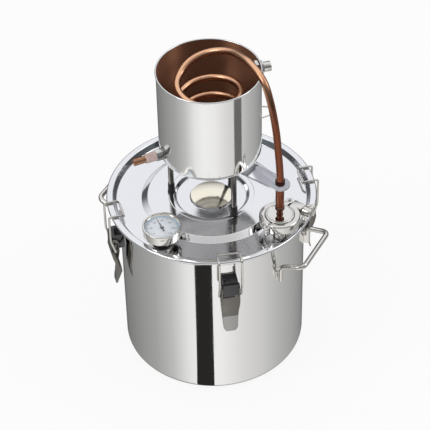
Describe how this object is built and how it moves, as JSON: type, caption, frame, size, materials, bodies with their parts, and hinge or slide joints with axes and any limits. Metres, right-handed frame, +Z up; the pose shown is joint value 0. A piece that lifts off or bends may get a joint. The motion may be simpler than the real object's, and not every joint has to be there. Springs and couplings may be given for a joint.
{
  "type": "copper still",
  "caption": "Lidded stainless boiler with draw latches, side handles, thermometer and clamped vapour pipe, under a legged condenser bucket with a wound copper coil.",
  "frame": {"origin": "centre of the boiler's flat base", "axes": "+Z up along the boiler's axis, -Y towards the front"},
  "size_m": [0.3112, 0.2925, 0.4775],
  "materials": {
    "polished_steel": "mirror-polished stainless steel",
    "satin_steel": "satin stainless steel",
    "plated_steel": "bright zinc-plated steel",
    "copper": "drawn copper, lightly aged",
    "dark_copper": "solder-darkened copper",
    "black_rubber": "moulded black rubber",
    "white_silicone": "translucent white silicone",
    "pink_silicone": "aged pinkish silicone hose",
    "dial_white": "printed white dial",
    "needle_black": "matt black paint",
    "clear_glass": "clear flat glass",
    "bimetal": "rolled bimetal strip"
  },
  "bodies": {
    "still": {"boiler_pot": "polished_steel", "lid": "polished_steel", "lid_gasket": "white_silicone", "handle_right": "polished_steel", "handle_left": "polished_steel", "latch_bracket_1": "polished_steel", "latch_bracket_2": "polished_steel", "latch_bracket_3": "polished_steel", "latch_bracket_4": "polished_steel", "latch_pins": "plated_steel", "thermometer_case": "polished_steel", "thermometer_bezel": "polished_steel", "thermometer_lens": "clear_glass", "thermometer_dial": "dial_white", "thermometer_coil": "bimetal", "thermometer_probe": "satin_steel", "thermometer_nut": "plated_steel", "thermometer_washer": "black_rubber", "thermometer_locknut": "plated_steel", "lid_ferrule": "satin_steel", "ferrule_gasket": "black_rubber", "vapour_cap": "polished_steel", "riser_collar": "dark_copper", "vapour_riser": "copper", "clamp_half_inner": "satin_steel", "clamp_half_outer": "satin_steel", "clamp_hinge_pin": "plated_steel", "clamp_bolt_pin": "plated_steel", "condenser_bucket": "polished_steel", "condenser_leg_1": "polished_steel", "condenser_leg_2": "polished_steel", "condenser_leg_3": "polished_steel", "leg_tips": "black_rubber", "pipe_strap": "satin_steel", "pipe_coupling": "dark_copper", "condenser_coil": "copper", "outlet_fitting": "plated_steel", "outlet_washer": "black_rubber", "outlet_locknut": "plated_steel", "outlet_sleeve": "pink_silicone", "outlet_spout": "copper", "water_outlet": "plated_steel", "water_inlet": "plated_steel", "water_washers": "black_rubber", "water_locknuts": "plated_steel", "hose_hook": "plated_steel"},
    "lever_1": {"latch_lever_1": "polished_steel"},
    "bail_1": {"latch_bail_1": "polished_steel"},
    "lever_2": {"latch_lever_2": "polished_steel"},
    "bail_2": {"latch_bail_2": "polished_steel"},
    "lever_3": {"latch_lever_3": "polished_steel"},
    "bail_3": {"latch_bail_3": "polished_steel"},
    "lever_4": {"latch_lever_4": "polished_steel"},
    "bail_4": {"latch_bail_4": "polished_steel"},
    "gauge_hand": {"thermometer_needle": "needle_black", "thermometer_spindle": "satin_steel"},
    "swing_bolt": {"clamp_bolt": "plated_steel"},
    "wing_nut": {"clamp_wing_nut": "plated_steel"}
  },
  "joints": [
    {"name": "latch_1_open", "type": "hinge", "parent": "still", "child": "lever_1", "pos_m": [0.02174, -0.13729, 0.2015], "axis": [-0.9877, -0.1564, 0], "range_deg": [0, 110]},
    {"name": "bail_1_swing", "type": "hinge", "parent": "lever_1", "child": "bail_1", "pos_m": [0.02164, -0.1366, 0.19152], "axis": [-0.9877, -0.1564, 0], "range_deg": [-105, 0]},
    {"name": "latch_2_open", "type": "hinge", "parent": "still", "child": "lever_2", "pos_m": [0.1357, 0.03009, 0.2015], "axis": [0.2164, -0.9763, 0], "range_deg": [0, 110]},
    {"name": "bail_2_swing", "type": "hinge", "parent": "lever_2", "child": "bail_2", "pos_m": [0.13502, 0.02993, 0.19152], "axis": [0.2164, -0.9763, 0], "range_deg": [-105, 0]},
    {"name": "latch_3_open", "type": "hinge", "parent": "still", "child": "lever_3", "pos_m": [-0.02414, 0.13689, 0.2015], "axis": [0.9848, 0.1736, 0], "range_deg": [0, 110]},
    {"name": "bail_3_swing", "type": "hinge", "parent": "lever_3", "child": "bail_3", "pos_m": [-0.02402, 0.1362, 0.19152], "axis": [0.9848, 0.1736, 0], "range_deg": [-105, 0]},
    {"name": "latch_4_open", "type": "hinge", "parent": "still", "child": "lever_4", "pos_m": [-0.13457, -0.0348, 0.2015], "axis": [-0.2504, 0.9681, 0], "range_deg": [0, 110]},
    {"name": "bail_4_swing", "type": "hinge", "parent": "lever_4", "child": "bail_4", "pos_m": [-0.1339, -0.03463, 0.19152], "axis": [-0.2504, 0.9681, 0], "range_deg": [-105, 0]},
    {"name": "gauge_hand_turn", "type": "hinge", "parent": "still", "child": "gauge_hand", "pos_m": [-0.06519, -0.08972, 0.27], "axis": [0, 0, 1], "range_deg": [-157, 113]},
    {"name": "clamp_bolt_swing", "type": "hinge", "parent": "still", "child": "swing_bolt", "pos_m": [0.10264, -0.04509, 0.2675], "axis": [0, 0, 1], "range_deg": [0, 80]},
    {"name": "wing_nut_turn", "type": "hinge", "parent": "swing_bolt", "child": "wing_nut", "pos_m": [0.10264, -0.04509, 0.2675], "axis": [0.809, -0.5878, 0], "continuous": true}
  ],
  "couplings": [
    {"joint": "bail_1_swing", "follows": "latch_1_open", "ratio": -0.92},
    {"joint": "bail_2_swing", "follows": "latch_2_open", "ratio": -0.92},
    {"joint": "bail_3_swing", "follows": "latch_3_open", "ratio": -0.92},
    {"joint": "bail_4_swing", "follows": "latch_4_open", "ratio": -0.92}
  ]
}
